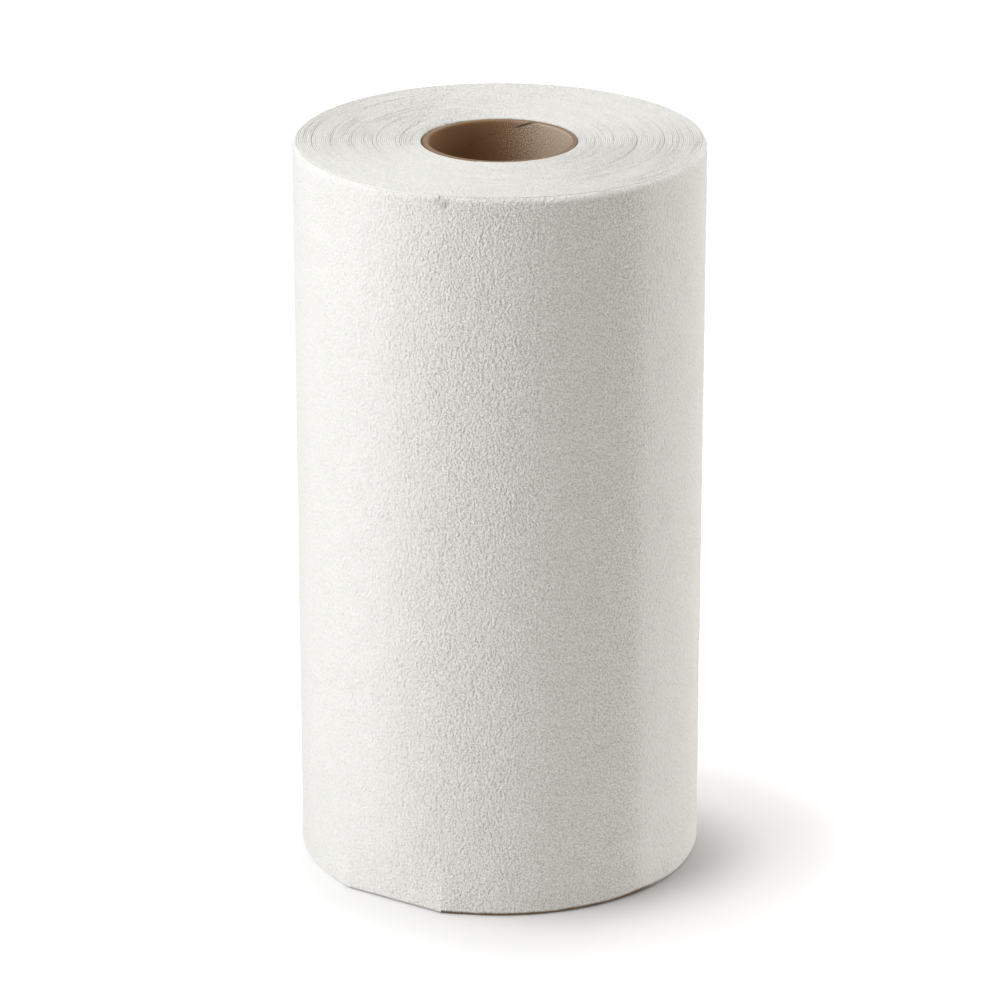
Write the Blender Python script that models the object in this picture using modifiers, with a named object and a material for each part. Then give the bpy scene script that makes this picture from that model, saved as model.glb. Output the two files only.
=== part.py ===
"""Paper towel roll: one long web of paper wound on a spiral cardboard core.

The roll stands on its end, with its axis along +Z and the origin at the middle of
that end. The web starts at the core, winds outwards anticlockwise seen from above,
and ends in a loose edge, the tail, that runs the full height of the roll's side.
"""

import math

import bmesh
import bpy

FULL_TURN = 2 * math.pi

# Driving dimensions of the wound web, in metres
ROLL_DIAMETER = 0.120
WEB_WIDTH = 0.220
SHEET_THICKNESS = 0.00035
END_ROUNDING = 0.0022

# Driving dimensions of the cardboard core
CORE_DIAMETER = 0.0448
CORE_WALL = 0.0016
CORE_RECESS = 0.0009
SEAM_LEAD = 0.050

# Clearances and allowances
CORE_CLEARANCE = 0.0003
CUT_OVERRUN = 0.0001
WELD_DISTANCE = 0.000001

# Counts, angles and shares
TAIL_ANGLE = math.radians(-106.6)
SEAM_ANGLE = math.radians(70)
RIM_ANGLE = math.radians(60)
SMOOTH_ANGLE = math.radians(32)
DRAWN_TURNS = 16
TURN_START_SHARE = 0.5
TURN_GAP_SHARE = 0.18
CORE_PLIES = 4
ROLL_SEGMENTS = 96
ROUNDING_SEGMENTS = 3
TURN_SEGMENTS = 40
CORE_SEGMENTS = 32

# Sizes that follow from the driving dimensions
ROLL_RADIUS = ROLL_DIAMETER / 2
TAIL_RADIUS = ROLL_RADIUS + SHEET_THICKNESS / 2
CORE_RADIUS = CORE_DIAMETER / 2
CORE_INNER_RADIUS = CORE_RADIUS - CORE_WALL
CORE_BOTTOM = CORE_RECESS
CORE_TOP = WEB_WIDTH - CORE_RECESS
BORE_RADIUS = CORE_RADIUS + CORE_CLEARANCE
FLAT_RADIUS = TAIL_RADIUS - SHEET_THICKNESS - END_ROUNDING
TURN_PITCH = (FLAT_RADIUS - BORE_RADIUS) / (DRAWN_TURNS + 1)

PAPER_COLOUR = (0.84, 0.84, 0.81, 1.0)
CARDBOARD_COLOUR = (0.41, 0.27, 0.16, 1.0)


def clear_scene():
    """Remove what the scene holds before the roll is made."""
    for item in list(bpy.data.objects):
        bpy.data.objects.remove(item, do_unlink=True)


def new_collection(name):
    collection = bpy.data.collections.new(name)
    bpy.context.scene.collection.children.link(collection)
    return collection


def principled(name, colour, roughness):
    """A plain, unpolished material."""
    material = bpy.data.materials.new(name)
    material.use_nodes = True
    shader = material.node_tree.nodes["Principled BSDF"]
    shader.inputs["Base Color"].default_value = colour
    shader.inputs["Roughness"].default_value = roughness
    shader.inputs["Metallic"].default_value = 0.0
    return material


def polar(radius, angle, height=0.0):
    return (radius * math.cos(angle), radius * math.sin(angle), height)


def add_path(curve, points, closed):
    """Add one straight-sided spline through the points."""
    spline = curve.splines.new("POLY")
    spline.points.add(len(points) - 1)
    for point, place in zip(spline.points, points):
        point.co = (*place, 1.0)
    spline.use_cyclic_u = closed


def curve_to_solid(curve_object, collection):
    """Turn a curve into a closed mesh, with its caps welded on and facing out."""
    name = curve_object.name
    depsgraph = bpy.context.evaluated_depsgraph_get()
    mesh = bpy.data.meshes.new_from_object(curve_object.evaluated_get(depsgraph))
    bm = bmesh.new()
    bm.from_mesh(mesh)
    bmesh.ops.remove_doubles(bm, verts=bm.verts, dist=WELD_DISTANCE)
    bmesh.ops.recalc_face_normals(bm, faces=bm.faces)
    bm.to_mesh(mesh)
    bm.free()
    place = curve_object.matrix_world.copy()
    bpy.data.objects.remove(curve_object, do_unlink=True)
    solid = bpy.data.objects.new(name, mesh)
    solid.matrix_world = place
    collection.objects.link(solid)
    return solid


def as_cutter(solid):
    solid.hide_render = True
    solid.display_type = "WIRE"
    return solid


def cut(body, tool, operation):
    """Queue one Boolean on the body."""
    modifier = body.modifiers.new(tool.name, "BOOLEAN")
    modifier.object = tool
    modifier.operation = operation
    modifier.solver = "EXACT"


def finish(body, material):
    """Apply the body's modifiers, give it its material and shade it round."""
    depsgraph = bpy.context.evaluated_depsgraph_get()
    mesh = bpy.data.meshes.new_from_object(body.evaluated_get(depsgraph))
    body.modifiers.clear()
    body.data = mesh
    mesh.name = body.name
    mesh.materials.clear()
    mesh.materials.append(material)
    mesh.shade_smooth()
    mesh.set_sharp_from_angle(angle=SMOOTH_ANGLE)


def rounded_drum(collection):
    """The roll's outer form: a drum a little wider than the web, with its rims rounded."""
    mesh = bpy.data.meshes.new("paper_roll")
    bm = bmesh.new()
    bmesh.ops.create_cone(
        bm,
        cap_ends=True,
        segments=ROLL_SEGMENTS,
        radius1=TAIL_RADIUS + CUT_OVERRUN,
        radius2=TAIL_RADIUS + CUT_OVERRUN,
        depth=WEB_WIDTH,
    )
    bmesh.ops.translate(bm, verts=bm.verts, vec=(0.0, 0.0, WEB_WIDTH / 2))
    bm.to_mesh(mesh)
    bm.free()
    drum = bpy.data.objects.new("paper_roll", mesh)
    collection.objects.link(drum)
    rims = drum.modifiers.new("rounded rims", "BEVEL")
    rims.width = END_ROUNDING
    rims.segments = ROUNDING_SEGMENTS
    rims.limit_method = "ANGLE"
    rims.angle_limit = RIM_ANGLE
    return drum


def last_turn():
    """The outermost turn seen from above: it climbs by one sheet and steps down at the tail."""
    points = []
    for step in range(ROLL_SEGMENTS + 1):
        share = step / ROLL_SEGMENTS
        radius = TAIL_RADIUS - SHEET_THICKNESS * (1 - share)
        points.append(polar(radius, TAIL_ANGLE + share * FULL_TURN))
    return points


def bore_circle():
    """The hole that the core fills, with a side for each side of the core."""
    step_angle = FULL_TURN / CORE_SEGMENTS
    return [polar(BORE_RADIUS, step * step_angle) for step in range(CORE_SEGMENTS)]


def wound_outline(collection):
    """The web's plan, last turn and bore, extruded past both ends of the roll."""
    curve = bpy.data.curves.new("wound_outline", "CURVE")
    curve.dimensions = "2D"
    curve.fill_mode = "BOTH"
    curve.extrude = WEB_WIDTH / 2 + CUT_OVERRUN
    add_path(curve, last_turn(), closed=True)
    add_path(curve, bore_circle(), closed=True)
    outline = bpy.data.objects.new("wound_outline", curve)
    outline.location = (0.0, 0.0, WEB_WIDTH / 2)
    collection.objects.link(outline)
    bpy.context.view_layer.update()
    return as_cutter(curve_to_solid(outline, collection))


def turn_spiral(height):
    """The gap between the turns, from half a pitch outside the bore to the tail."""
    steps = DRAWN_TURNS * TURN_SEGMENTS
    points = []
    for step in range(steps + 1):
        turns_left = (steps - step) / TURN_SEGMENTS
        radius = FLAT_RADIUS - TURN_PITCH * (turns_left + TURN_START_SHARE)
        points.append(polar(radius, TAIL_ANGLE - turns_left * FULL_TURN, height))
    return points


def swept_groove(name, points, depth, collection):
    """A square bar on its corner, swept along the points, that cuts a V of this depth."""
    curve = bpy.data.curves.new(name, "CURVE")
    curve.dimensions = "3D"
    curve.twist_mode = "Z_UP"
    curve.bevel_depth = depth + CUT_OVERRUN
    curve.bevel_resolution = 0
    curve.use_fill_caps = True
    add_path(curve, points, closed=False)
    groove = bpy.data.objects.new(name, curve)
    collection.objects.link(groove)
    bpy.context.view_layer.update()
    return as_cutter(curve_to_solid(groove, collection))


def make_paper_roll(collection, cutters, material):
    """The wound web: one solid, with its turns cut in both ends and its tail on the side."""
    roll = rounded_drum(collection)
    cut(roll, wound_outline(cutters), "INTERSECT")
    gap_depth = TURN_PITCH * TURN_GAP_SHARE
    for name, height in (
        ("top_turns", WEB_WIDTH + CUT_OVERRUN),
        ("bottom_turns", -CUT_OVERRUN),
    ):
        cut(roll, swept_groove(name, turn_spiral(height), gap_depth, cutters), "DIFFERENCE")
    finish(roll, material)
    return roll


def seam_helix():
    """The seam of the core's inner ply, run past both ends of the tube."""
    step_angle = FULL_TURN / CORE_SEGMENTS
    bottom_angle = SEAM_ANGLE + FULL_TURN * (CORE_TOP - CORE_BOTTOM) / SEAM_LEAD
    first = math.floor(SEAM_ANGLE / step_angle) - 1
    last = math.ceil(bottom_angle / step_angle) + 1
    points = []
    for step in range(first, last + 1):
        angle = step * step_angle
        height = CORE_TOP - SEAM_LEAD * (angle - SEAM_ANGLE) / FULL_TURN
        points.append(polar(CORE_INNER_RADIUS - CUT_OVERRUN, angle, height))
    return points


def turned_tube(collection):
    """The core's wall, turned from its section: along the top, down the outside and back."""
    section = [
        (CORE_INNER_RADIUS, 0.0, CORE_TOP),
        (CORE_RADIUS, 0.0, CORE_TOP),
        (CORE_RADIUS, 0.0, CORE_BOTTOM),
        (CORE_INNER_RADIUS, 0.0, CORE_BOTTOM),
    ]
    edges = [(start, (start + 1) % len(section)) for start in range(len(section))]
    mesh = bpy.data.meshes.new("core_tube")
    mesh.from_pydata(section, edges, [])
    tube = bpy.data.objects.new("core_tube", mesh)
    collection.objects.link(tube)
    turn = tube.modifiers.new("turned section", "SCREW")
    turn.axis = "Z"
    turn.angle = FULL_TURN
    turn.steps = CORE_SEGMENTS
    turn.render_steps = CORE_SEGMENTS
    turn.use_merge_vertices = True
    turn.merge_threshold = WELD_DISTANCE
    return tube


def make_core_tube(collection, cutters, material):
    """The cardboard core, with the seam of its spiral inner ply open down the bore."""
    tube = turned_tube(collection)
    seam_depth = CORE_WALL / CORE_PLIES
    cut(tube, swept_groove("seam", seam_helix(), seam_depth, cutters), "DIFFERENCE")
    finish(tube, material)
    return tube


def main():
    clear_scene()
    parts = new_collection("paper_towel_roll")
    cutters = new_collection("cutters")
    paper = principled("paper", PAPER_COLOUR, roughness=0.95)
    cardboard = principled("cardboard", CARDBOARD_COLOUR, roughness=0.85)
    make_paper_roll(parts, cutters, paper)
    make_core_tube(parts, cutters, cardboard)


main()
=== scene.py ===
import math

import bmesh
import bpy
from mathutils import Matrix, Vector


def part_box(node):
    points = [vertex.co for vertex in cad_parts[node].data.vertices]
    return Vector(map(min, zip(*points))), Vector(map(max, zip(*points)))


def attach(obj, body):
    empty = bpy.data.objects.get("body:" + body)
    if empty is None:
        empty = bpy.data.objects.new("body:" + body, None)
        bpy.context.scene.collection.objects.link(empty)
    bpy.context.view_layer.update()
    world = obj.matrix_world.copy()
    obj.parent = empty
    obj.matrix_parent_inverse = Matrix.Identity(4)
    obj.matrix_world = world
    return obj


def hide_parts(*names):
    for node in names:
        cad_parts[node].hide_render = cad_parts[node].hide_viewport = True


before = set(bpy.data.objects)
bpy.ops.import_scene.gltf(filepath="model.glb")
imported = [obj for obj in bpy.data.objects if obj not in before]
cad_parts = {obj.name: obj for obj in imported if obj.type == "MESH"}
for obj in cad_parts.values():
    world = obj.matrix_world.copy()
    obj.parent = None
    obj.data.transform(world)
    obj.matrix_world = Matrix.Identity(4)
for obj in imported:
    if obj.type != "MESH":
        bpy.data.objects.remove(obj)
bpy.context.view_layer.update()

fullTurn = 2 * math.pi
mm = 0.001
white = (1.0, 1.0, 1.0, 1.0)
sharpAngle = math.radians(50)   # edges that turn more than this stay crisp

webLow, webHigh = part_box("paper_roll")
coreLow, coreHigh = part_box("core_tube")

# Sizes that every piece shares, taken from the frame where it has them
roll = {
    "height": webHigh[2] - webLow[2],
    "radius": (webHigh[0] - webLow[0]) / 2,
    "coreRadius": (coreHigh[0] - coreLow[0]) / 2,
    "coreBottom": coreLow[2],
    "coreTop": coreHigh[2],
    "tailAngle": math.radians(-106.6),   # where the loose edge runs down the side
    "climb": 0.35 * mm,                  # how much the last turn gains on its way round
    "rimRadius": 2.2 * mm,
    "footRadius": 0.9 * mm,
    "sheetLength": 230 * mm,             # from the loose edge to the first perforations
    "slitPitch": 6.5 * mm,
    "slitBond": 0.22,                    # share of each pitch that isn't cut
}
roll["tailRadius"] = roll["radius"] + roll["climb"] / 2

# The foot of the roll is pressed flat on the left of the front, up to the loose edge
foot = {
    "start": math.radians(-138),
    "end": roll["tailAngle"],
    "proud": 0.7 * mm,             # how far the ends of the flat stand out
    "fade": math.radians(9),       # and how soon the foot is round again
    "height": 20 * mm,
    "reach": 9 * mm,               # how far the flat goes in under the lower face
}
foot["middle"] = (foot["start"] + foot["end"]) / 2
foot["half"] = (foot["end"] - foot["start"]) / 2
roll["perforation"] = fullTurn - roll["sheetLength"] / roll["radius"]   # angle from the tail
bondEnds = (roll["slitBond"] * 0.4, roll["slitBond"] * 0.6)             # where a slit fades into a bond


# Node trees are written as sums: a nodeValue is a socket that can be added, multiplied and so on
class nodeValue:
    def __init__(self, tree, socket):
        self.tree = tree
        self.socket = socket

    def __add__(self, other):
        return calc(self.tree, "ADD", self, other)

    __radd__ = __add__

    def __mul__(self, other):
        return calc(self.tree, "MULTIPLY", self, other)

    __rmul__ = __mul__

    def __sub__(self, other):
        return calc(self.tree, "SUBTRACT", self, other)

    def __rsub__(self, other):
        return calc(self.tree, "SUBTRACT", other, self)

    def __truediv__(self, other):
        return calc(self.tree, "DIVIDE", self, other)

    def __rtruediv__(self, other):
        return calc(self.tree, "DIVIDE", other, self)

    def power(self, exponent):
        return calc(self.tree, "POWER", self, exponent)

    def sine(self):
        return calc(self.tree, "SINE", self)

    def cosine(self):
        return calc(self.tree, "COSINE", self)

    def size(self):
        return calc(self.tree, "ABSOLUTE", self)

    def atLeast(self, other):
        return calc(self.tree, "MAXIMUM", self, other)

    def atMost(self, other):
        return calc(self.tree, "MINIMUM", self, other)

    def ramp(self, low, high):
        # 0 below low, 1 above high, smooth between
        node = self.tree.nodes.new("ShaderNodeMapRange")
        node.interpolation_type = "SMOOTHSTEP"
        feed(self.tree, node.inputs["Value"], self)
        feed(self.tree, node.inputs["From Min"], low)
        feed(self.tree, node.inputs["From Max"], high)
        return nodeValue(self.tree, node.outputs["Result"])


def feed(tree, socket, value):
    if isinstance(value, nodeValue):
        tree.links.new(value.socket, socket)
    else:
        socket.default_value = value


def calc(tree, operation, *values):
    node = tree.nodes.new("ShaderNodeMath")
    node.operation = operation
    for socket, value in zip(node.inputs, values):
        feed(tree, socket, value)
    return nodeValue(tree, node.outputs[0])


def addNode(tree, kind, inputs=None, **settings):
    node = tree.nodes.new(kind)
    for name, value in settings.items():
        setattr(node, name, value)
    for name, value in (inputs or {}).items():
        feed(tree, node.inputs[name], value)
    return node


def joinAxes(tree, x, y, z=0.0):
    node = addNode(tree, "ShaderNodeCombineXYZ", {"X": x, "Y": y, "Z": z})
    return nodeValue(tree, node.outputs["Vector"])


def splitAxes(tree, vector):
    node = addNode(tree, "ShaderNodeSeparateXYZ", {"Vector": vector})
    return [nodeValue(tree, output) for output in node.outputs]


def noise(tree, vector, scale=1.0, detail=2.0, roughness=0.5):
    # from about -1 to 1, middle 0
    node = addNode(
        tree, "ShaderNodeTexNoise",
        {"Vector": vector, "Scale": scale, "Detail": detail, "Roughness": roughness},
    )
    output = node.outputs["Fac"] if "Fac" in node.outputs else node.outputs["Factor"]
    return (nodeValue(tree, output) - 0.5) * 2.0


# Geometry Nodes: every tree starts from a grid whose points are then put in place
def startTree(name, inputs):
    tree = bpy.data.node_groups.new(name, "GeometryNodeTree")
    tree.interface.new_socket(name="Geometry", in_out="OUTPUT", socket_type="NodeSocketGeometry")
    for label, kind in inputs.items():
        tree.interface.new_socket(name=label, in_out="INPUT", socket_type="NodeSocket" + kind)
    given = tree.nodes.new("NodeGroupInput")
    return tree, {label: nodeValue(tree, given.outputs[label]) for label in inputs}


def unitGrid(tree, columns, rows):
    # a flat grid, one unit each way, with its two shares of the way across
    grid = addNode(
        tree, "GeometryNodeMeshGrid",
        {"Size X": 1.0, "Size Y": 1.0, "Vertices X": columns, "Vertices Y": rows},
    )
    place = addNode(tree, "GeometryNodeInputPosition")
    across, along, _ = splitAxes(tree, nodeValue(tree, place.outputs[0]))
    return nodeValue(tree, grid.outputs["Mesh"]), across + 0.5, along + 0.5


def keepField(tree, geometry, name, value, kind="FLOAT_VECTOR", domain="POINT"):
    store = addNode(
        tree, "GeometryNodeStoreNamedAttribute",
        {"Geometry": geometry, "Name": name, "Value": value},
        data_type=kind, domain=domain,
    )
    return nodeValue(tree, store.outputs["Geometry"])


def endTree(tree, geometry, place, material, sheetMap, weldDistance):
    # keeps the unrolled place as the UV map, moves the points, welds them and sets the material
    mapped = keepField(tree, geometry, "sheet", sheetMap, "FLOAT2", "CORNER")
    moved = addNode(tree, "GeometryNodeSetPosition", {"Geometry": mapped, "Position": place})
    welded = addNode(
        tree, "GeometryNodeMergeByDistance",
        {"Geometry": nodeValue(tree, moved.outputs[0]), "Distance": weldDistance},
    )
    real = addNode(
        tree, "GeometryNodeRealizeInstances", {"Geometry": nodeValue(tree, welded.outputs[0])},
    )
    dressed = addNode(
        tree, "GeometryNodeSetMaterial",
        {"Geometry": nodeValue(tree, real.outputs[0]), "Material": material},
    )
    end = tree.nodes.new("NodeGroupOutput")
    tree.links.new(dressed.outputs[0], end.inputs["Geometry"])


def growMesh(name, tree, values):
    # runs the tree once and returns its result as a plain mesh object
    grower = bpy.data.objects.new(name + "Grower", bpy.data.meshes.new(name))
    bpy.context.scene.collection.objects.link(grower)
    modifier = grower.modifiers.new("grow", "NODES")
    modifier.node_group = tree
    for item in tree.interface.items_tree:
        if item.in_out == "INPUT":
            modifier[item.identifier] = values[item.name]
    depsgraph = bpy.context.evaluated_depsgraph_get()
    mesh = bpy.data.meshes.new_from_object(grower.evaluated_get(depsgraph))
    bpy.data.objects.remove(grower, do_unlink=True)
    mesh.name = name
    finish = mesh.materials[-1]
    mesh.materials.clear()
    mesh.materials.append(finish)
    mesh.polygons.foreach_set("material_index", [0] * len(mesh.polygons))
    piece = bpy.data.objects.new(name, mesh)
    bpy.context.scene.collection.objects.link(piece)
    return piece


def countFaces(piece):
    return sum(len(polygon.vertices) - 2 for polygon in piece.data.polygons)


def settle(piece, node):
    # shades the piece, gives it its body, hides its CAD node and prints its triangles
    piece.data.shade_smooth()
    piece.data.set_sharp_from_angle(angle=sharpAngle)
    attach(piece, "root")
    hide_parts(node)
    print(piece.name, countFaces(piece), "triangles")


def facingOut(bm):
    # a closed shell that is inside out has a negative volume
    if bm.calc_volume(signed=True) < 0:
        bmesh.ops.reverse_faces(bm, faces=bm.faces)


# Materials
def newMaterial(name, roughness):
    material = bpy.data.materials.new(name)
    material.use_nodes = True
    shader = material.node_tree.nodes["Principled BSDF"]
    shader.inputs["Roughness"].default_value = roughness
    return material, material.node_tree, shader


def blendColour(tree, share, first, second):
    node = tree.nodes.new("ShaderNodeMix")
    node.data_type = "RGBA"
    feed(tree, node.inputs["Factor"], share)
    for socket, value in ((node.inputs[6], first), (node.inputs[7], second)):
        feed(tree, socket, value)
    return nodeValue(tree, node.outputs[2])


def addBump(tree, shader, height):
    # height is in metres
    node = addNode(tree, "ShaderNodeBump", {"Height": height, "Strength": 1.0, "Distance": 1.0})
    tree.links.new(node.outputs["Normal"], shader.inputs["Normal"])


def unrolledPlace(tree):
    # across the unrolled sheet and up it, in millimetres
    node = addNode(tree, "ShaderNodeUVMap", uv_map="sheet")
    across, up, _ = splitAxes(tree, nodeValue(tree, node.outputs["UV"]))
    return across / mm, up / mm


towelPaper = {
    "colour": (0.93, 0.93, 0.91, 1.0),
    "paintedShadeColour": (0.60, 0.575, 0.53, 1.0),
    "roughness": 0.92,
    "pebbleSize": 1.0,       # mm, the rounded bumps
    "pebbleDepth": 0.22,
    "pebbleStretch": 1.25,
    "pebbleBlend": 0.4,      # how softly they run together
    "pebbleStray": 0.5,      # how far they stand out of line
    "straySize": 2.0,        # and over what distance that changes
    "strayShift": 31.0,      # keeps the stray up apart from the stray across
    "crepeSize": 0.70,
    "crepeDepth": 0.13,
    "crepeStretch": 1.40,    # the creases run a little up and down
    "grainSize": 0.40,
    "grainDepth": 0.10,
    "fibreSize": 0.16,
    "fibreDepth": 0.012,
    "patchSize": 9.0,        # the creping is stronger here and weaker there
    "patchShare": 0.45,
    "pitSize": 1.05,
    "pitStray": 0.5,
    "pitRadius": (0.1, 0.40),
    "pitRarity": 3.0,        # the higher, the fewer deep ones
    "pitDepth": 0.03,
    "pitShade": 0.3,         # painted shade: how dark the deepest pits are
    "hollowShade": 0.15,     # painted shade: how dark the hollows between the bumps are
    "tint": 0.36,            # share of that which lies over all of it
    "crepeTint": 1.2,        # what each kind of relief adds to it or takes away
    "pebbleTint": 0.8,
    "grainTint": 1.2,
    "mottleTint": 0.4,
    "mottleSize": 6.0,
    "speckSize": 0.24,
    "speckShare": 4.2,
    "frontShade": 0.46,      # more painted shade on the front, where the light grazes the paper, on both sides of the loose edge
    "frontRise": (-26.0, 10.0),
    "frontFall": (50.0, 68.0),
    "girth": fullTurn * roll["radius"] / mm,
    "rightShade": 0.42,      # and most to its right
    "rightRise": (15.0, 38.0),
    "rightFall": (54.0, 66.0),
    "rimHighlightBand": (-2.6, -1.2),  # painted highlight: less painted shade along the upper edge on the right, where the rim catches the light
    "rimRise": (14.0, 36.0),
    "rimFall": (95.0, 125.0),
    "slitWidth": (0.10, 0.32),
    "slitShade": 0.75,
    # painted shade of the fold by the loose edge's upper corner, which narrows downwards to a crease
    "foldShadeColour": (0.60, 0.605, 0.585, 1.0),
    "foldMiddle": 1.3,
    "foldWide": 2.3,
    "foldNarrow": 0.4,
    "foldTop": (0.9, 1.2),
    "foldTaper": (1.5, 4.6),
    "foldFade": (2.0, 11.0),
    "foldShade": 0.8,
    "footShadeAndStainColour": (0.20, 0.13, 0.075, 1.0),    # partly painted contact shadow and partly a brown stain, along the foot, to the right of the loose edge
    "footShadeAndStainRagged": 0.5,
    "footShadeAndStainHeight": (0.8, 1.5),
    "footShadeAndStainLength": (62.0, 80.0),
    "footShadowColour": (0.42, 0.41, 0.40, 1.0),       # painted contact shadow along the flat of the foot, to its left
    "footShadowHeight": (0.5, 1.1),
    "footShadowStart": (340.0, 347.0),
}


def makeTowelPaper(look):
    material, tree, shader = newMaterial("towelPaper", look["roughness"])
    across, up = unrolledPlace(tree)
    place = joinAxes(tree, across, up)
    strayScale = 1 / look["straySize"]
    strayAcross = noise(tree, place, strayScale, 0.0) * look["pebbleStray"]
    shifted = joinAxes(tree, across + look["strayShift"], up)
    strayUp = noise(tree, shifted, strayScale, 0.0) * look["pebbleStray"]
    cells = addNode(
        tree, "ShaderNodeTexVoronoi",
        {"Vector": joinAxes(tree, across + strayAcross, (up + strayUp) / look["pebbleStretch"]),
         "Scale": 1 / look["pebbleSize"], "Smoothness": look["pebbleBlend"]},
        feature="SMOOTH_F1", voronoi_dimensions="2D",
    )
    pebble = 0.5 - nodeValue(tree, cells.outputs["Distance"])
    creased = joinAxes(tree, across, up / look["crepeStretch"])
    crepe = noise(tree, creased, 1 / look["crepeSize"], 0.0)
    grain = noise(tree, creased, 1 / look["grainSize"], 0.0)
    fibre = noise(tree, place, 1 / look["fibreSize"], 1.0)

    # pinholes of the creping, each with its own depth
    dots = addNode(
        tree, "ShaderNodeTexVoronoi",
        {"Vector": joinAxes(tree, across + crepe * look["pitStray"], up),
         "Scale": 1 / look["pitSize"]},
        feature="F1", voronoi_dimensions="2D",
    )
    strength, _, _ = splitAxes(tree, nodeValue(tree, dots.outputs["Color"]))
    reach = nodeValue(tree, dots.outputs["Distance"]) * look["pitSize"]
    pit = (1.0 - reach.ramp(*look["pitRadius"])) * strength.power(look["pitRarity"])
    patch = 1.0 + noise(tree, place, 1 / look["patchSize"], 1.0) * look["patchShare"]
    bumps = pebble * look["pebbleDepth"] + crepe * look["crepeDepth"] + grain * look["grainDepth"]
    height = bumps * patch + fibre * look["fibreDepth"] - pit * look["pitDepth"]
    addBump(tree, shader, height * mm)

    # painted shade: pits and hollows are darker and warmer than the tops of the bumps, most on the
    # front and to its right; specks and mottle add a random tone of their own
    mottle = noise(tree, place, 1 / look["mottleSize"], 3.0, 0.6)
    speck = noise(tree, creased, 1 / look["speckSize"], 0.0) * look["speckShare"]
    hollow = look["tint"] - crepe * look["crepeTint"] - pebble * look["pebbleTint"]
    hollow = hollow - grain * look["grainTint"] - speck + mottle * look["mottleTint"]
    around = calc(tree, "WRAP", across, look["girth"] / 2, -look["girth"] / 2)
    front = around.ramp(*look["frontRise"]) * (1.0 - around.ramp(*look["frontFall"]))
    right = around.ramp(*look["rightRise"]) * (1.0 - around.ramp(*look["rightFall"]))
    shade = look["hollowShade"] + front * look["frontShade"] + right * look["rightShade"]
    # painted highlight along the upper edge on the front right
    paintedRimHighlight = (up - roll["height"] / mm).ramp(*look["rimHighlightBand"])
    paintedRimHighlight = paintedRimHighlight * around.ramp(*look["rimRise"]) * (1.0 - around.ramp(*look["rimFall"]))
    share = (hollow * shade + pit * look["pitShade"]).atLeast(0.0).atMost(1.0) * (1.0 - paintedRimHighlight)
    colour = blendColour(tree, share, look["colour"], look["paintedShadeColour"])

    # painted shade in the slits of the perforations
    fromLine = (across - roll["perforation"] * roll["radius"] / mm).size()
    dash = calc(tree, "PINGPONG", up / (roll["slitPitch"] / mm), 0.5)
    slit = (1.0 - fromLine.ramp(*look["slitWidth"])) * dash.ramp(*bondEnds)
    colour = blendColour(tree, slit * look["slitShade"], colour, look["paintedShadeColour"])

    # painted shade of the fold at the loose edge's upper corner
    fromTop = roll["height"] / mm - up
    taper = fromTop.ramp(*look["foldTaper"])
    narrow = look["foldWide"] - taper * (look["foldWide"] - look["foldNarrow"])
    fold = 1.0 - (around - look["foldMiddle"]).size().ramp(narrow * 0.75, narrow)
    fold = fold * fromTop.ramp(*look["foldTop"]) * (1.0 - fromTop.ramp(*look["foldFade"]))
    colour = blendColour(tree, fold * look["foldShade"], colour, look["foldShadeColour"])

    # painted contact shadow along the foot, which to the right of the loose edge is partly a brown
    # stain too
    ragged = up + mottle * look["footShadeAndStainRagged"]
    footShadeAndStain = (1.0 - ragged.ramp(*look["footShadeAndStainHeight"])) * (1.0 - across.ramp(*look["footShadeAndStainLength"]))
    footShadow = (1.0 - up.ramp(*look["footShadowHeight"])) * across.ramp(*look["footShadowStart"])
    colour = blendColour(tree, footShadeAndStain, colour, look["footShadeAndStainColour"])
    colour = blendColour(tree, footShadow, colour, look["footShadowColour"])
    tree.links.new(colour.socket, shader.inputs["Base Color"])
    return material


cutEdges = {
    "colour": (0.935, 0.938, 0.918, 1.0),
    "gapShadeColour": (0.46, 0.45, 0.42, 1.0),
    "roughness": 0.95,
    "fluffSize": 0.6,      # mm
    "fluffDepth": 0.20,
    "mottleSize": 7.0,
    # what adds to the darker colour: painted shade in the gaps between turns and in the hollows of the
    # fluff, and a random mottle
    "gapShare": 0.8,
    "mottleShare": 0.06,
    "fluffShare": 0.22,
    "evenShare": 0.03,
}


def makeCutEdges(look):
    material, tree, shader = newMaterial("cutEdges", look["roughness"])
    place = nodeValue(tree, addNode(tree, "ShaderNodeTexCoord").outputs["Object"])
    fluff = noise(tree, place, 1 / (look["fluffSize"] * mm), 0.0)
    addBump(tree, shader, fluff * (look["fluffDepth"] * mm))
    gap = nodeValue(tree, addNode(tree, "ShaderNodeAttribute", attribute_name="gap").outputs["Fac"])
    mottle = noise(tree, place, 1 / (look["mottleSize"] * mm), 2.0)
    share = gap * look["gapShare"] + mottle * look["mottleShare"] - fluff * look["fluffShare"]
    share = (share + look["evenShare"]).atLeast(0.0).atMost(1.0)
    colour = blendColour(tree, share, look["colour"], look["gapShadeColour"])
    tree.links.new(colour.socket, shader.inputs["Base Color"])
    return material


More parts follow.
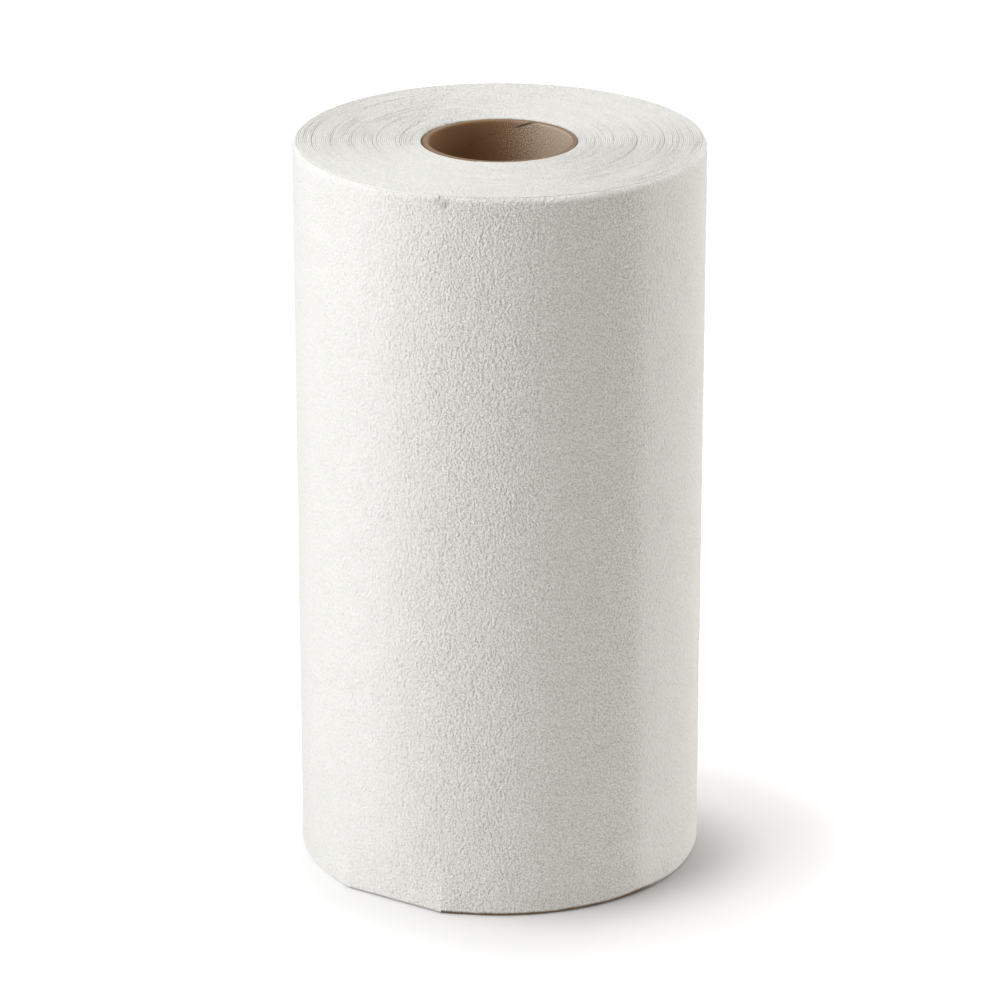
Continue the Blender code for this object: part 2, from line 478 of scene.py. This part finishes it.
kraftBoard = {
    "colour": (0.325, 0.228, 0.15, 1.0),
    "darkColour": (0.27, 0.17, 0.095, 1.0),
    "paleColour": (0.52, 0.40, 0.28, 1.0),
    "roughness": 0.8,
    "stripLean": math.radians(20.9),   # the strips climb this steeply round the core
    "fibreSize": 0.5,      # mm
    "fibreDepth": 0.03,
    "fleckSize": 0.9,
    "fleckDepth": 0.02,
    "cloudSize": 9.0,
    "speckSize": 0.34,
    "speckShare": 1.3,
    # painted light and shade: the inner ply is darker and redder on the shaded side of the bore, and
    # paler on the lit side
    "shadedSideColour": (0.40, 0.215, 0.10, 1.0),
    "litSideColour": (0.67, 0.55, 0.43, 1.0),
    "litSideAngle": math.radians(20),
    "litSideStart": 0.4,
    "litSideEnd": 0.9,
    "liningTop": 219.0,    # mm above the foot
    # the seam of the inner strip shows best just under the rim
    "seamColour": (0.07, 0.04, 0.025, 1.0),
    "seamLead": 50.0,
    "seamAngle": math.radians(63),
    "seamWidth": (0.12, 0.5),
    "seamFade": (216.5, 217.6),
    "seamFaint": 0.06,     # its share of colour down the bore
    "seamStrong": 0.84,    # and what the stretch under the rim has more
}


def makeKraftBoard(look):
    material, tree, shader = newMaterial("kraftBoard", look["roughness"])
    across, up = unrolledPlace(tree)
    lean = math.tan(look["stripLean"])
    along, over = across - up * lean, across * lean + up
    grain = noise(tree, joinAxes(tree, along * 0.25, over), 1 / look["fibreSize"], 3.0, 0.6)
    place = joinAxes(tree, across, up)
    fleck = noise(tree, place, 1 / look["fleckSize"], 4.0, 0.7)
    cloud = noise(tree, place, 1 / look["cloudSize"], 2.0, 0.5)
    speck = noise(tree, place, 1 / look["speckSize"], 0.0) * look["speckShare"]
    addBump(tree, shader, (grain * look["fibreDepth"] + fleck * look["fleckDepth"]) * mm)

    # painted light and shade in the bore: one side is paler with fewer dark flecks, the other darker
    # and redder
    angle = across * (mm / roll["coreRadius"])
    towardsLitSide = (angle - look["litSideAngle"]).cosine()
    litSide = (towardsLitSide + fleck * 0.25 + speck * 0.5).ramp(look["litSideStart"], look["litSideEnd"])
    lining = blendColour(tree, litSide, look["shadedSideColour"], look["litSideColour"])
    inside = 1.0 - up.ramp(look["liningTop"], look["liningTop"] + 0.3)
    board = blendColour(tree, inside, look["colour"], lining)
    dark = (0.35 + grain * 0.35 + cloud * 0.3 - speck).atLeast(0.0).atMost(1.0)
    dark = dark * (1.0 - inside * litSide * 0.8)
    board = blendColour(tree, dark, board, look["darkColour"])
    pale = (fleck * 1.3 - 0.45).atLeast(0.0).atMost(1.0)
    colour = blendColour(tree, pale, board, look["paleColour"])
    toSeam = (look["liningTop"] - up) / look["seamLead"] - (angle - look["seamAngle"]) / fullTurn
    apart = (0.5 - calc(tree, "PINGPONG", toSeam + 0.5, 0.5)) * look["seamLead"]
    strength = look["seamFaint"] + up.ramp(*look["seamFade"]) * look["seamStrong"]
    seam = (1.0 - apart.ramp(*look["seamWidth"])) * strength * inside
    colour = blendColour(tree, seam, colour, look["seamColour"])
    tree.links.new(colour.socket, shader.inputs["Base Color"])
    return material


# The towel's outer turn: the last sheet and the one that goes in under it
towelSheet = {
    "step": 0.72 * mm,          # mean distance between the points of the surface
    "crowding": 0.35,           # how much closer they stand towards the loose edge
    "thickness": 0.3 * mm,
    "rimWidth": 1.2 * mm,       # the upper rim lies on the wound turns inside
    "rimStart": 0.45 * mm,      # the sheet's edge stops this far below the upper face
    "footStart": 0.25 * mm,     # and this far above the floor
    "embossDepth": 0.13 * mm,
    "embossSize": 1.9 * mm,
    "swellDepth": 0.16 * mm,
    "swellSize": 9 * mm,
    "tailPress": 0.33 * mm,     # how far the glued loose edge is pressed down
    "tailFade": 32 * mm,
    "nickDepth": 0.28 * mm,     # the dent at the loose edge's upper corner
    "nickWidth": 3.4 * mm,
    "nickHeight": 2.8 * mm,
    "creaseDepth": 0.20 * mm,   # and the crease that runs down from it
    "creaseWidth": 1.0 * mm,
    "creaseHeight": 13 * mm,
    "slitDepth": 0.25 * mm,
    "underTail": 3 * mm,        # how far the lower sheet is drawn on under the tail
}


def footDent(tree, turned):
    # how far the foot is pressed in, by the angle from the tail: a line between two corners
    away = calc(tree, "WRAP", turned + roll["tailAngle"] - foot["middle"], math.pi, -math.pi).size()
    corner = roll["radius"] + foot["proud"]
    line = corner * math.cos(foot["half"]) / away.atMost(foot["half"]).cosine()
    return roll["radius"] - line + (away - foot["half"]).ramp(0.0, foot["fade"]) * foot["proud"]


def sheetTree(look):
    tree, given = startTree("towelSheet", {
        "Start Angle": "Float", "End Angle": "Float", "Columns": "Int", "Rows": "Int",
        "Crowding": "Float", "Tail Radius": "Float", "Height": "Float", "Material": "Material",
    })
    grid, across, along = unitGrid(tree, given["Columns"], given["Rows"])
    crowded = across + given["Crowding"] * across * (1.0 - across)
    turned = given["Start Angle"] + crowded * (given["End Angle"] - given["Start Angle"])
    arc = turned * roll["radius"]
    up = look["footStart"] + along * (given["Height"] - look["rimStart"] - look["footStart"])
    smooth = given["Tail Radius"] - roll["climb"] + turned * (roll["climb"] / fullTurn)

    # both ends bend in over the roll's rounded rims
    inset, onWall = 0.0, 1.0
    for toEnd, round in ((given["Height"] - up, roll["rimRadius"]), (up, roll["footRadius"])):
        past = (round - toEnd).atLeast(0.0)
        inset = inset + (round - (round * round - past * past).atLeast(0.0).power(0.5))
        onWall = onWall * (1.0 - past.ramp(0.0, round))

    # relief of the paper itself, the same in both sheets where one lies on the other
    angle = turned + roll["tailAngle"]
    around = joinAxes(tree, angle.cosine() * roll["radius"], angle.sine() * roll["radius"], up)
    emboss = noise(tree, around, 1 / look["embossSize"], 1.0) * look["embossDepth"]
    swell = noise(tree, around, 1 / look["swellSize"], 1.0) * look["swellDepth"]
    relief = (emboss + swell) * onWall

    # the loose edge is pressed down, with a nick at its upper corner and a crease below
    toTail = (fullTurn - turned) * roll["radius"]
    pressed = (1.0 - toTail.ramp(0.0, look["tailFade"])) * look["tailPress"] * onWall
    fromTail = toTail.size().atMost(arc.size())
    fromTop = given["Height"] - up
    nick = (1.0 - fromTail.ramp(0.0, look["nickWidth"])) \
        * (1.0 - fromTop.ramp(0.9 * mm, look["nickHeight"])) * look["nickDepth"]
    crease = (1.0 - fromTail.ramp(0.0, look["creaseWidth"])) \
        * (1.0 - fromTop.ramp(0.0, look["creaseHeight"])) * look["creaseDepth"]

    # slits with short bonds between them on the line of perforations
    fromLine = (turned - roll["perforation"]).size() * roll["radius"]
    wave = calc(tree, "PINGPONG", up / roll["slitPitch"], 0.5)
    cut = wave.ramp(*bondEnds)
    slit = (1.0 - fromLine.ramp(0.0, 2 * look["step"])) * cut * look["slitDepth"]

    dent = footDent(tree, turned) * (1.0 - up.ramp(0.0, foot["height"]))
    radius = smooth - inset + relief - pressed - nick - crease - slit - dent
    place = joinAxes(tree, radius * angle.cosine(), radius * angle.sine(), up)
    endTree(tree, grid, place, given["Material"], joinAxes(tree, arc, up), 0.00001)
    return tree


def closeSheet(piece, columns, rows, look):
    # gives the sheet its thickness: a rim all round, wider at both ends, and inner strips
    bm = bmesh.new()
    bm.from_mesh(piece.data)
    bm.verts.ensure_lookup_table()
    unrolled = bm.loops.layers.uv["sheet"]
    rimEdges = [edge for edge in bm.edges if edge.is_boundary]
    inner, spot = {}, {}

    def addFace(verts):
        for loop in bm.faces.new(verts).loops:
            loop[unrolled].uv = spot[loop.vert]

    for vert in {v for edge in rimEdges for v in edge.verts}:
        reach = math.hypot(vert.co.x, vert.co.y)
        rim = look["thickness"]
        if vert.co.z < roll["footRadius"]:
            rim += foot["proud"]
        if vert.co.z > roll["height"] - roll["rimRadius"] / 2:
            rim = look["rimWidth"]
        shrink = (reach - rim) / reach
        inner[vert.index] = bm.verts.new((vert.co.x * shrink, vert.co.y * shrink, vert.co.z))
        spot[vert] = spot[inner[vert.index]] = vert.link_loops[0][unrolled].uv.copy()
    outerFaces = {edge: edge.link_faces[0] for edge in rimEdges}
    for edge, face in outerFaces.items():
        loop = next(l for l in face.loops if l.edge == edge)
        start, end = loop.vert, loop.link_loop_next.vert
        addFace((end, start, inner[start.index], inner[end.index]))

    def at(column, row):
        return inner[column * rows + row]

    for column in range(columns - 1):
        left, right = column, column + 1
        ring = [at(left, 0), at(right, 0)]
        if right == columns - 1:
            ring += [at(right, row) for row in range(1, rows - 1)]
        ring += [at(right, rows - 1), at(left, rows - 1)]
        if left == 0:
            ring += [at(left, row) for row in range(rows - 2, 0, -1)]
        addFace(ring[::-1])
    facingOut(bm)
    bm.to_mesh(piece.data)
    bm.free()


def makeSheet(name, tree, look, startAngle, endAngle, crowding, material):
    columns = round((endAngle - startAngle) * roll["radius"] / look["step"]) + 1
    rows = round(roll["height"] / look["step"]) + 1
    piece = growMesh(name, tree, {
        "Start Angle": startAngle, "End Angle": endAngle, "Columns": columns, "Rows": rows,
        "Crowding": crowding, "Tail Radius": roll["tailRadius"], "Height": roll["height"],
        "Material": material,
    })
    closeSheet(piece, columns, rows, look)
    settle(piece, "paper_roll")
    return piece


# The wound web inside: every turn shows as a ridge on both end faces
woundWeb = {
    "turns": 60,
    "stepsTop": 232,            # points in each turn
    "stepsBottom": 150,
    "ridgePoints": 5,           # points across each turn
    "valleyDepth": 0.22 * mm,
    "looseDepth": 0.7 * mm,     # where turns stand apart
    "looseStart": -0.06,        # how seldom they do
    "looseLength": 24 * mm,     # how far such a gap goes round
    "looseWidth": 0.9 * mm,     # and across
    "partDepth": 0.12 * mm,     # the few long partings
    "partWidth": 0.4,           # in turns
    # turns counted from the core, middle in degrees, half the length in degrees
    "partings": (
        (10, 188, 48), (21, 172, 44), (33, 181, 40), (43, 176, 34), (52, 170, 30),
        (28, -24, 36), (41, -14, 38), (48, -6, 30), (17, 20, 40), (36, 60, 34),
    ),
    "swellDepth": 0.13 * mm,    # the face's own waves, long round the roll and narrow across
    "swellLength": 30 * mm,
    "swellWidth": 2.2 * mm,
    "fineDepth": 0.05 * mm,
    "fineLength": 3.2 * mm,
    "fineWidth": 0.9 * mm,
    "gapShade": 0.38,           # painted shade: how much darker the valleys are
    "looseShade": 1.3 / mm,     # and where turns stand apart
    "partShade": 0.55,
    "dish": 0.75 * mm,          # the face sinks towards the core
    "dishPower": 1.6,
    "boreGap": 0.05 * mm,
    "sheetGap": 0.75 * mm,      # room that the outer sheet takes
    "edgeWall": 0.6 * mm,       # the part of its wall that stands straight behind the sheet's rim
    "setBack": 1.7 * mm,        # how far the rest of the wall stands behind the sheet
}


def turnTree(look):
    tree, given = startTree("woundTurns", {
        "Turns": "Int", "Steps": "Int", "Points": "Int", "Bore Radius": "Float",
        "Pitch": "Float", "Height": "Float", "Side": "Float", "Seed": "Float", "Material": "Material",
    })
    columns = given["Turns"] * given["Steps"] + 1
    grid, across, along = unitGrid(tree, columns, given["Points"])
    turned = across * given["Turns"] * fullTurn
    radius = given["Bore Radius"] + given["Pitch"] * (turned / fullTurn + along)
    angle = turned + roll["tailAngle"]
    below = (0.0 - given["Side"]).atLeast(0.0)
    dent = footDent(tree, turned) * below * radius.ramp(roll["radius"] - foot["reach"], roll["radius"])
    x, y = (radius - dent) * angle.cosine(), (radius - dent) * angle.sine()

    # turns stand closer here and looser there
    reach = look["looseLength"]
    seat = joinAxes(tree, x / reach, y / reach, radius / look["looseWidth"] + given["Seed"])
    wide = look["swellLength"]
    broad = joinAxes(tree, x / wide, y / wide, radius / look["swellWidth"] + given["Seed"])
    short = look["fineLength"]
    near = joinAxes(tree, x / short, y / short, radius / look["fineWidth"])
    loose = (noise(tree, seat, 1.0, 1.0) - look["looseStart"]).atLeast(0.0) * look["looseDepth"]
    hollow = (along * 2.0 - 1.0).size()
    ring = calc(tree, "FLOOR", turned / fullTurn) + along
    parted = 0.0
    for turn, middle, half in look["partings"]:
        off = calc(tree, "WRAP", angle - math.radians(middle), math.pi, -math.pi).size()
        length = 1.0 - off.ramp(math.radians(half * 0.3), math.radians(half))
        parted = parted + (1.0 - (ring - turn).size().ramp(0.0, look["partWidth"])) * length
    # the outermost edge lies under the sheet, so it has no valley
    lastTurn = (turned / fullTurn).ramp(given["Turns"] - 1.02, given["Turns"] - 1.0)
    inSight = 1.0 - lastTurn * along.ramp(0.4, 0.9)
    valley = (hollow * hollow * (look["valleyDepth"] + loose) + parted * look["partDepth"]) * inSight
    swell = noise(tree, broad, 1.0, 2.0) * look["swellDepth"]
    fine = noise(tree, near, 1.0, 2.0) * look["fineDepth"]

    # the face is a little dished, and its rim is rounded
    share = (radius - given["Bore Radius"]) / (roll["tailRadius"] - given["Bore Radius"])
    dish = (1.0 - share).power(look["dishPower"]) * look["dish"]
    rim = roll["rimRadius"] + below * (roll["footRadius"] - roll["rimRadius"])
    pastRim = (radius - (roll["tailRadius"] - rim)).atLeast(0.0).atMost(rim)
    drop = rim - (rim * rim - pastRim * pastRim).atLeast(0.0).power(0.5)
    half = given["Height"] / 2
    face = half - dish - drop - valley - (swell.size() + fine.size())
    up = half + given["Side"] * face
    # painted shade in the valleys, where turns stand apart and along the partings, kept for the
    # cutEdges material
    dark = hollow * hollow * (look["gapShade"] + loose * look["looseShade"])
    dark = (dark + parted * look["partShade"]) * inSight
    kept = keepField(tree, grid, "gap", dark, "FLOAT")
    endTree(tree, kept, joinAxes(tree, x, y, up), given["Material"],
            joinAxes(tree, angle * radius, radius), 0.00001)
    return tree


def closeWeb(piece, bottom, look):
    # joins the upper and lower faces by the bore and by a wall set back under the outer sheet
    bm = bmesh.new()
    bm.from_mesh(piece.data)
    bmesh.ops.reverse_faces(bm, faces=bm.faces)
    bm.from_mesh(bottom.data)
    middle = roll["height"] / 2
    border = (roll["coreRadius"] + roll["radius"]) / 2
    loose = [edge for edge in bm.edges if edge.is_boundary]
    bore = [edge for edge in loose if math.hypot(*edge.verts[0].co.xy) < border]
    bmesh.ops.bridge_loops(bm, edges=bore)
    rims = [edge for edge in loose if math.hypot(*edge.verts[0].co.xy) > border]
    # the wall goes straight down behind the sheet's rim first, and then back
    for inwards, along in ((0.0, look["edgeWall"]), (look["setBack"], look["setBack"])):
        made = bmesh.ops.extrude_edge_only(bm, edges=rims)["geom"]
        rims = [item for item in made if isinstance(item, bmesh.types.BMEdge)]
        for vert in made:
            if isinstance(vert, bmesh.types.BMVert):
                shrink = 1 - inwards / math.hypot(vert.co.x, vert.co.y)
                towardsMiddle = math.copysign(along, middle - vert.co.z)
                vert.co = (vert.co.x * shrink, vert.co.y * shrink, vert.co.z + towardsMiddle)
    bmesh.ops.bridge_loops(bm, edges=rims)
    facingOut(bm)
    print("open edges", sum(1 for edge in bm.edges if not edge.is_manifold))
    bm.to_mesh(piece.data)
    bm.free()
    bpy.data.objects.remove(bottom, do_unlink=True)


def makeWeb(look, material):
    tree = turnTree(look)
    boreRadius = roll["coreRadius"] + look["boreGap"]
    pitch = (roll["tailRadius"] - look["sheetGap"] - boreRadius) / (look["turns"] + 1)
    faces = []
    for name, steps, side, seed in (
        ("woundWeb", look["stepsTop"], 1.0, 3.0),
        ("lowerFace", look["stepsBottom"], -1.0, 8.0),
    ):
        faces.append(growMesh(name, tree, {
            "Turns": look["turns"], "Steps": steps, "Points": look["ridgePoints"],
            "Bore Radius": boreRadius, "Pitch": pitch, "Height": roll["height"],
            "Side": side, "Seed": seed, "Material": material,
        }))
    closeWeb(*faces, look)
    settle(faces[0], "paper_roll")
    return faces[0]


# The core: a tube of kraft board strips wound in a helix
boardTube = {
    "wall": 1.6 * mm,
    "around": 176,              # points round the tube
    "rowsInside": 400,
    "rowsOutside": 8,
    "rimPoints": 14,
    "seamLead": 50 * mm,
    "seamAngle": math.radians(63),
    "seamDepth": 0.12 * mm,
    "seamWidth": 0.45 * mm,
    "plies": 4,
    "plyRelief": 0.06 * mm,
    "rimRound": 0.25 * mm,
    "warpDepth": 0.08 * mm,     # the bore isn't quite round
    "warpHeight": 20 * mm,
    "warpScale": 1.3,
}


def tubeTree(look):
    tree, given = startTree("boardTube", {
        "Around": "Int", "Rows": "Int", "Inner Radius": "Float", "Outer Radius": "Float",
        "Bottom": "Float", "Top": "Float", "Material": "Material",
    })
    grid, across, along = unitGrid(tree, given["Around"], given["Rows"])
    inside, rim, outside = look["rowsInside"], look["rimPoints"], look["rowsOutside"]
    total = inside + 2 * rim + outside
    row = along * total

    def part(start, count):
        # how much of one stretch of the section is behind this row
        return ((row - start) / count).atLeast(0.0).atMost(1.0)

    onRise, onTop = part(0, inside), part(inside, rim)
    onFall, onFoot = part(inside + rim, outside), part(inside + rim + outside, rim)
    height = given["Top"] - given["Bottom"]
    up = given["Bottom"] + height * (onRise - onFall)
    thickness = given["Outer Radius"] - given["Inner Radius"]
    radius = given["Inner Radius"] + thickness * (onTop - onFoot)

    # ply edges on the two rims, and the seam of the inner strip down the bore
    angle = across * fullTurn
    onRims = (onTop - onFoot) * look["plies"]
    ply = calc(tree, "PINGPONG", onRims, 0.5) * 2.0
    sag = (1.0 - ply) * look["plyRelief"]
    corner = (1.0 - ((onTop - onFoot) * 2.0 - 1.0).size()).ramp(0.0, 0.3)
    end = (up - (given["Top"] + given["Bottom"]) / 2) / (height / 2)
    up = up - end.power(9.0) * (sag + (1.0 - corner) * look["rimRound"])
    lead = look["seamLead"]
    toSeam = (given["Top"] - up) / lead - (angle - look["seamAngle"]) / fullTurn
    apart = calc(tree, "PINGPONG", toSeam + 0.5, 0.5)
    apart = (0.5 - apart) * lead
    groove = (1.0 - apart.ramp(0.0, look["seamWidth"])) * look["seamDepth"]
    innerSide = 1.0 - (onTop - onFoot).ramp(0.0, 0.25)
    around = joinAxes(tree, angle.cosine(), angle.sine(), up / look["warpHeight"])
    warp = noise(tree, around, look["warpScale"], 1.0) * look["warpDepth"]
    radius = radius + innerSide * (groove + warp.size())
    place = joinAxes(tree, radius * angle.cosine(), radius * angle.sine(), up)
    sheetMap = joinAxes(tree, angle * given["Outer Radius"], up + (onTop - onFoot) * thickness)
    endTree(tree, grid, place, given["Material"], sheetMap, 0.000005)
    return tree


def makeCore(look, material):
    piece = growMesh("coreTube", tubeTree(look), {
        "Around": look["around"] + 1,
        "Rows": look["rowsInside"] + 2 * look["rimPoints"] + look["rowsOutside"] + 1,
        "Inner Radius": roll["coreRadius"] - look["wall"], "Outer Radius": roll["coreRadius"],
        "Bottom": roll["coreBottom"], "Top": roll["coreTop"], "Material": material,
    })
    bm = bmesh.new()
    bm.from_mesh(piece.data)
    facingOut(bm)
    print("core open edges", sum(1 for edge in bm.edges if not edge.is_manifold))
    bm.to_mesh(piece.data)
    bm.free()
    settle(piece, "core_tube")
    return piece


# Camera and studio
camera = {
    "place": (0.0, -1.2838, 0.59435),
    "pitch": math.radians(69.253),
    "lens": 166.33,
    "sensorWidth": 36.0,
    "clipEnd": 30.0,
}


def makeCamera(look):
    lens = bpy.data.cameras.new("photoCamera")
    lens.lens = look["lens"]
    lens.sensor_width = look["sensorWidth"]
    lens.clip_end = look["clipEnd"]
    stand = bpy.data.objects.new("photoCamera", lens)
    stand.location = look["place"]
    stand.rotation_euler = (look["pitch"], 0.0, 0.0)
    bpy.context.scene.collection.objects.link(stand)
    bpy.context.scene.camera = stand


studio = {
    "aim": (0.0, 0.0, 0.10),
    "distance": 1.3,
    "boxSize": 0.7,
    # name: (degrees round from the camera, degrees up, watts, colour)
    "softboxes": {
        "leftKey": (-60, 10, 6.2, (0.985, 0.995, 1.0)),
        "highKey": (-60, 40, 5.8, (0.985, 0.995, 1.0)),
        "upperLeft": (-90, 50, 0.6, (0.985, 0.995, 1.0)),
        "rightFill": (90, 10, 6.1, (1.0, 0.985, 0.955)),
        "backRight": (150, 20, 6.0, (1.0, 0.995, 0.98)),
    },
    "topSize": 0.9,
    "topHeight": 1.5,
    "topPower": 8.3,
    "fill": 0.117,
    "fillColour": (1.0, 0.86, 0.70, 1.0),
    "floorColour": (0.84, 0.84, 0.84, 1.0),
    "floorSize": 10.0,
    # the camera sees a darker floor that glows outside the roll's shadow; the shadow is partly cast by
    # the lamps and partly painted by where the glow is left out
    "seenColour": (0.504, 0.504, 0.504, 1.0),
    "shadowMiddle": (0.0186, -0.0158),
    "shadowDepth": 1.147,
    "shadowReach": (0.0296, 0.0690),
    "openLift": 0.456,
    "farReach": (0.0589, 0.1510),
    "farLift": 0.70,
}


def makeSoftbox(name, size, power, place, towards, colour=(1.0, 1.0, 1.0)):
    lamp = bpy.data.lights.new(name, "AREA")
    lamp.shape = "SQUARE"
    lamp.size = size
    lamp.energy = power
    lamp.color = colour
    stand = bpy.data.objects.new(name, lamp)
    stand.location = place
    stand.rotation_euler = towards.to_track_quat("Z", "Y").to_euler()
    bpy.context.scene.collection.objects.link(stand)


def makeStudio(look):
    aim = Vector(look["aim"])
    for name, (around, up, power, colour) in look["softboxes"].items():
        angle, lift = math.radians(around), math.radians(up)
        towards = Vector((
            math.sin(angle) * math.cos(lift), -math.cos(angle) * math.cos(lift), math.sin(lift)
        ))
        makeSoftbox(name, look["boxSize"], power, aim + towards * look["distance"], towards, colour)
    straightUp = Vector((0, 0, 1))
    makeSoftbox("topBox", look["topSize"], look["topPower"], straightUp * look["topHeight"], straightUp)

    world = bpy.data.worlds.new("studio")
    world.use_nodes = True
    bpy.context.scene.world = world
    tree = world.node_tree
    background = tree.nodes["Background"]
    path = addNode(tree, "ShaderNodeLightPath")
    seen = nodeValue(tree, path.outputs["Is Camera Ray"])
    behind = blendColour(tree, seen, look["fillColour"], white)
    feed(tree, background.inputs["Color"], behind)
    feed(tree, background.inputs["Strength"], look["fill"] + seen * (1.0 - look["fill"]))


def makeFloor(look):
    mesh = bpy.data.meshes.new("floor")
    bm = bmesh.new()
    bmesh.ops.create_grid(bm, x_segments=1, y_segments=1, size=look["floorSize"] / 2)
    bm.to_mesh(mesh)
    bm.free()
    floor = bpy.data.objects.new("floor", mesh)
    bpy.context.scene.collection.objects.link(floor)
    material, tree, shader = newMaterial("floor", 1.0)
    shader.inputs["Specular IOR Level"].default_value = 0.0
    shader.inputs["Emission Color"].default_value = white
    place = nodeValue(tree, addNode(tree, "ShaderNodeTexCoord").outputs["Object"])
    x, y, _ = splitAxes(tree, place)
    # painted shadow: the glow is left out round the shadow's middle and rises with the distance from it
    middle = look["shadowMiddle"]
    over, back = x - middle[0], (y - middle[1]) * look["shadowDepth"]
    away = (over * over + back * back).power(0.5)
    near = away.ramp(*look["shadowReach"]) * look["openLift"]
    lift = near + away.ramp(*look["farReach"]) * look["farLift"]
    seen = nodeValue(tree, addNode(tree, "ShaderNodeLightPath").outputs["Is Camera Ray"])
    feed(tree, shader.inputs["Emission Strength"], lift * seen)
    colour = blendColour(tree, seen, look["floorColour"], look["seenColour"])
    feed(tree, shader.inputs["Base Color"], colour)
    mesh.materials.append(material)


bpy.context.scene.view_settings.view_transform = "Standard"
makeCamera(camera)
makeStudio(studio)
makeFloor(studio)
print("camera, lamps and floor are in place")

paper = makeTowelPaper(towelPaper)
edges = makeCutEdges(cutEdges)
board = makeKraftBoard(kraftBoard)
print("materials are made")

sheets = sheetTree(towelSheet)
makeSheet("lastSheet", sheets, towelSheet, roll["perforation"], fullTurn,
          towelSheet["crowding"], paper)
makeSheet("lowerSheet", sheets, towelSheet, -towelSheet["underTail"] / roll["radius"],
          roll["perforation"], -towelSheet["crowding"], paper)
makeWeb(woundWeb, edges)
makeCore(boardTube, board)
print("the roll's pieces are made")
